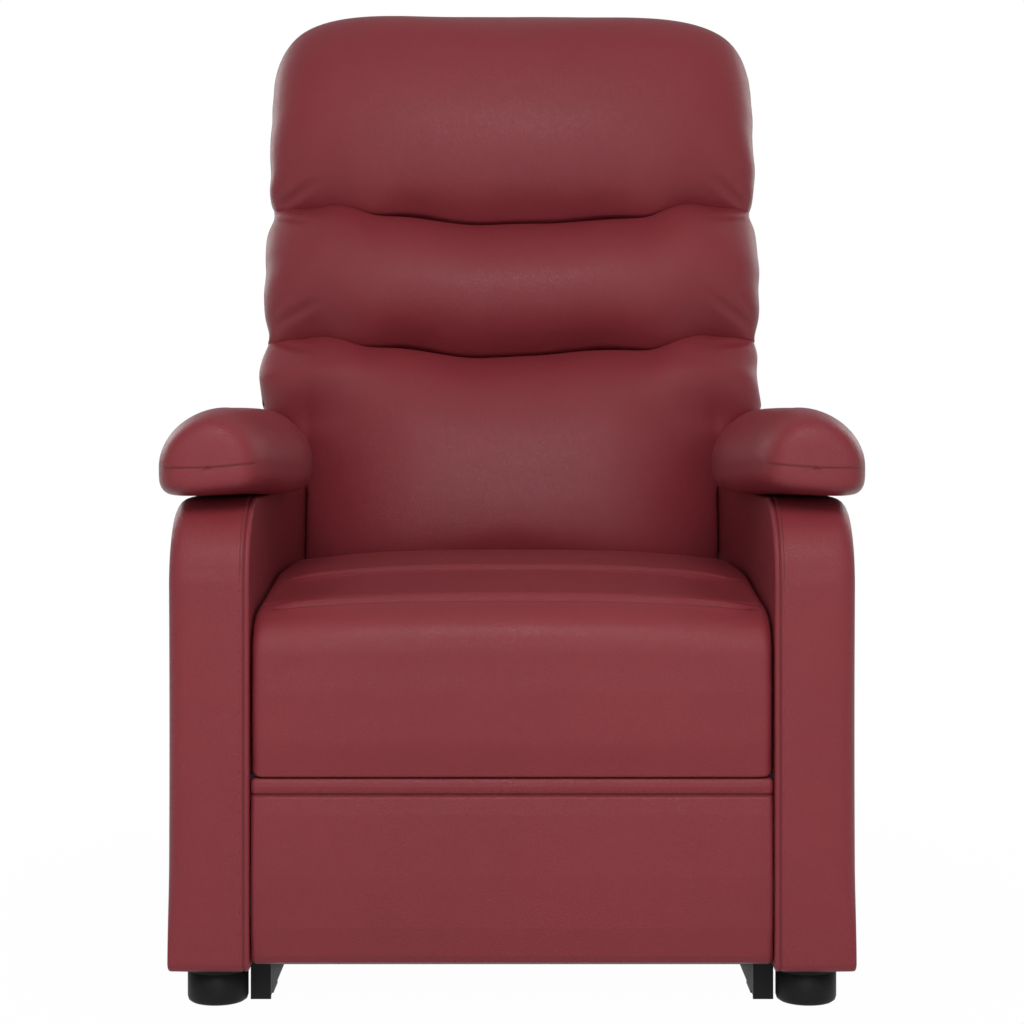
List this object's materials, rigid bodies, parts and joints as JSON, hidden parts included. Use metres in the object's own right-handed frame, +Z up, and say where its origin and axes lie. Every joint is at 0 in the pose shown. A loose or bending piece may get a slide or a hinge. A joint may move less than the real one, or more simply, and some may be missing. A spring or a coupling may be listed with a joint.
{
  "type": "lift recliner chair",
  "caption": "Padded armchair on a powered base that tips it forward, with a reclining back and a fold-out footrest.",
  "frame": {"origin": "on the floor, under the middle of the chair's width and depth", "axes": "+Z up; the chair faces -Y; +X is the sitter's left"},
  "size_m": [0.708, 0.9113, 1.0921],
  "materials": {
    "wine_leather": "satin",
    "black_steel": "satin",
    "bright_steel": "satin",
    "grey_tube": "satin",
    "black_plastic": "matte",
    "grey_button": "matte",
    "board_green": "matte",
    "frame_wood": "matte",
    "black_cloth": "matte"
  },
  "bodies": {
    "base": {"base_rails": "black_steel", "base_end_caps": "black_plastic", "base_cross_tubes": "black_steel", "lift_base_brackets": "black_steel", "lift_motor_clevis": "black_steel"},
    "lift_links": {"lift_rear_links": "black_steel", "lift_torque_tube": "black_steel"},
    "lift_front": {"lift_front_links": "black_steel"},
    "lift_actuator": {"lift_motor": "black_plastic", "lift_outer_tube": "grey_tube"},
    "lift_ram": {"lift_rod": "bright_steel"},
    "chair": {"chassis_plates": "black_steel", "lift_hangers": "black_steel", "chassis_cross_tubes": "black_steel", "recline_motor_tube": "black_steel", "control_box": "black_plastic", "seat_side_rails": "frame_wood", "seat_cross_rails": "frame_wood", "seat_springs": "bright_steel", "seat_cushion": "wine_leather", "arm_panel_left": "wine_leather", "arm_panel_right": "wine_leather", "arm_pad_left": "wine_leather", "arm_pad_right": "wine_leather", "feet": "black_plastic", "rear_panel": "black_cloth", "side_pocket": "wine_leather", "handset_front_shell": "black_plastic", "handset_rear_shell": "black_plastic", "handset_board": "board_green"},
    "raise_key": {"raise_button": "grey_button"},
    "lower_key": {"lower_button": "grey_button"},
    "footrest_crank_set": {"footrest_front_links": "black_steel", "footrest_torque_tube": "black_steel"},
    "cross_set": {"footrest_cross_links": "black_steel"},
    "outer_set": {"footrest_outer_links": "black_steel"},
    "rear_set": {"footrest_rear_links": "black_steel"},
    "footrest": {"footrest_brackets": "black_steel", "footrest_board": "frame_wood", "footrest_pad": "wine_leather"},
    "back": {"outer_back_panel": "wine_leather", "back_borders": "wine_leather", "back_side_rails": "frame_wood", "back_cross_rails": "frame_wood", "back_webbing": "black_cloth", "lower_back_cushion": "wine_leather", "middle_pillow": "wine_leather", "head_pillow": "wine_leather", "back_brackets": "black_steel", "back_drive_tube": "black_steel"},
    "drive_set": {"drive_links": "black_steel"},
    "recline_actuator": {"recline_motor": "black_plastic", "recline_outer_tube": "grey_tube"},
    "recline_ram": {"recline_rod": "bright_steel"}
  },
  "joints": [
    {"name": "lift", "type": "hinge", "parent": "base", "child": "lift_links", "pos_m": [0, -0.2793, 0.0798], "axis": [1, 0, 0], "range_deg": [0, 39.58]},
    {"name": "chair_tilt", "type": "hinge", "parent": "lift_links", "child": "chair", "pos_m": [0, 0.1955, 0.0508], "axis": [1, 0, 0], "range_deg": [-14.83, 0]},
    {"name": "lift_front_link", "type": "hinge", "parent": "base", "child": "lift_front", "pos_m": [0, -0.3537, 0.0709], "axis": [1, 0, 0], "range_deg": [0, 47.05]},
    {"name": "lift_actuator_swing", "type": "hinge", "parent": "base", "child": "lift_actuator", "pos_m": [0, 0.19, 0.06], "axis": [1, 0, 0], "range_deg": [0, 1.13]},
    {"name": "lift_rod_stroke", "type": "slide", "parent": "lift_actuator", "child": "lift_ram", "axis": [0, -0.9775, 0.2108], "range_m": [0, 0.05285]},
    {"name": "recline", "type": "hinge", "parent": "chair", "child": "footrest_crank_set", "pos_m": [0, -0.25, 0.276], "axis": [-1, 0, 0], "range_deg": [0, 88]},
    {"name": "cross_link", "type": "hinge", "parent": "footrest_crank_set", "child": "cross_set", "pos_m": [0, -0.157, 0.11492], "axis": [-1, 0, 0], "range_deg": [-88.18, 0]},
    {"name": "outer_link", "type": "hinge", "parent": "footrest_crank_set", "child": "outer_set", "pos_m": [0, -0.131, 0.06989], "axis": [-1, 0, 0], "range_deg": [-88.18, 0]},
    {"name": "rear_link", "type": "hinge", "parent": "chair", "child": "rear_set", "pos_m": [0, -0.15155, 0.2395], "axis": [-1, 0, 0], "range_deg": [0, 88.18]},
    {"name": "footrest_turn", "type": "hinge", "parent": "cross_set", "child": "footrest", "pos_m": [0, -0.4, 0.205], "axis": [-1, 0, 0], "range_deg": [0, 88.18]},
    {"name": "back_recline", "type": "hinge", "parent": "chair", "child": "back", "pos_m": [0, 0.15, 0.25], "axis": [-1, 0, 0], "range_deg": [0, 38.08]},
    {"name": "drive_link", "type": "hinge", "parent": "back", "child": "drive_set", "pos_m": [0, 0.17039, 0.18723], "axis": [-1, 0, 0], "range_deg": [-38.08, 0]},
    {"name": "recline_actuator_swing", "type": "hinge", "parent": "chair", "child": "recline_actuator", "pos_m": [0, -0.352, 0.2], "axis": [1, 0, 0], "range_deg": [-0.32452, 0]},
    {"name": "recline_rod_stroke", "type": "slide", "parent": "recline_actuator", "child": "recline_ram", "axis": [0, 0.9999, -0.0129], "range_m": [-0.03914, 0]},
    {"name": "raise_button_press", "type": "slide", "parent": "chair", "child": "raise_key", "axis": [1, 0, 0], "range_m": [0, 0.0015], "stiffness_N_per_m": 300},
    {"name": "lower_button_press", "type": "slide", "parent": "chair", "child": "lower_key", "axis": [1, 0, 0], "range_m": [0, 0.0015], "stiffness_N_per_m": 300}
  ],
  "couplings": [
    {"joint": "chair_tilt", "follows": "lift", "ratio": -0.37393},
    {"joint": "lift_front_link", "follows": "lift", "ratio": 1.1865},
    {"joint": "lift_actuator_swing", "follows": "lift", "ratio": 0.028387},
    {"joint": "lift_rod_stroke", "follows": "lift", "m_per_rad": 0.076346},
    {"joint": "cross_link", "follows": "recline", "ratio": -1},
    {"joint": "outer_link", "follows": "recline", "ratio": -1},
    {"joint": "rear_link", "follows": "recline", "ratio": 1},
    {"joint": "footrest_turn", "follows": "recline", "ratio": 1},
    {"joint": "back_recline", "follows": "recline", "ratio": 0.43182},
    {"joint": "drive_link", "follows": "recline", "ratio": -0.43182},
    {"joint": "recline_actuator_swing", "follows": "recline", "ratio": -0.00368},
    {"joint": "recline_rod_stroke", "follows": "recline", "m_per_rad": -0.025435}
  ]
}
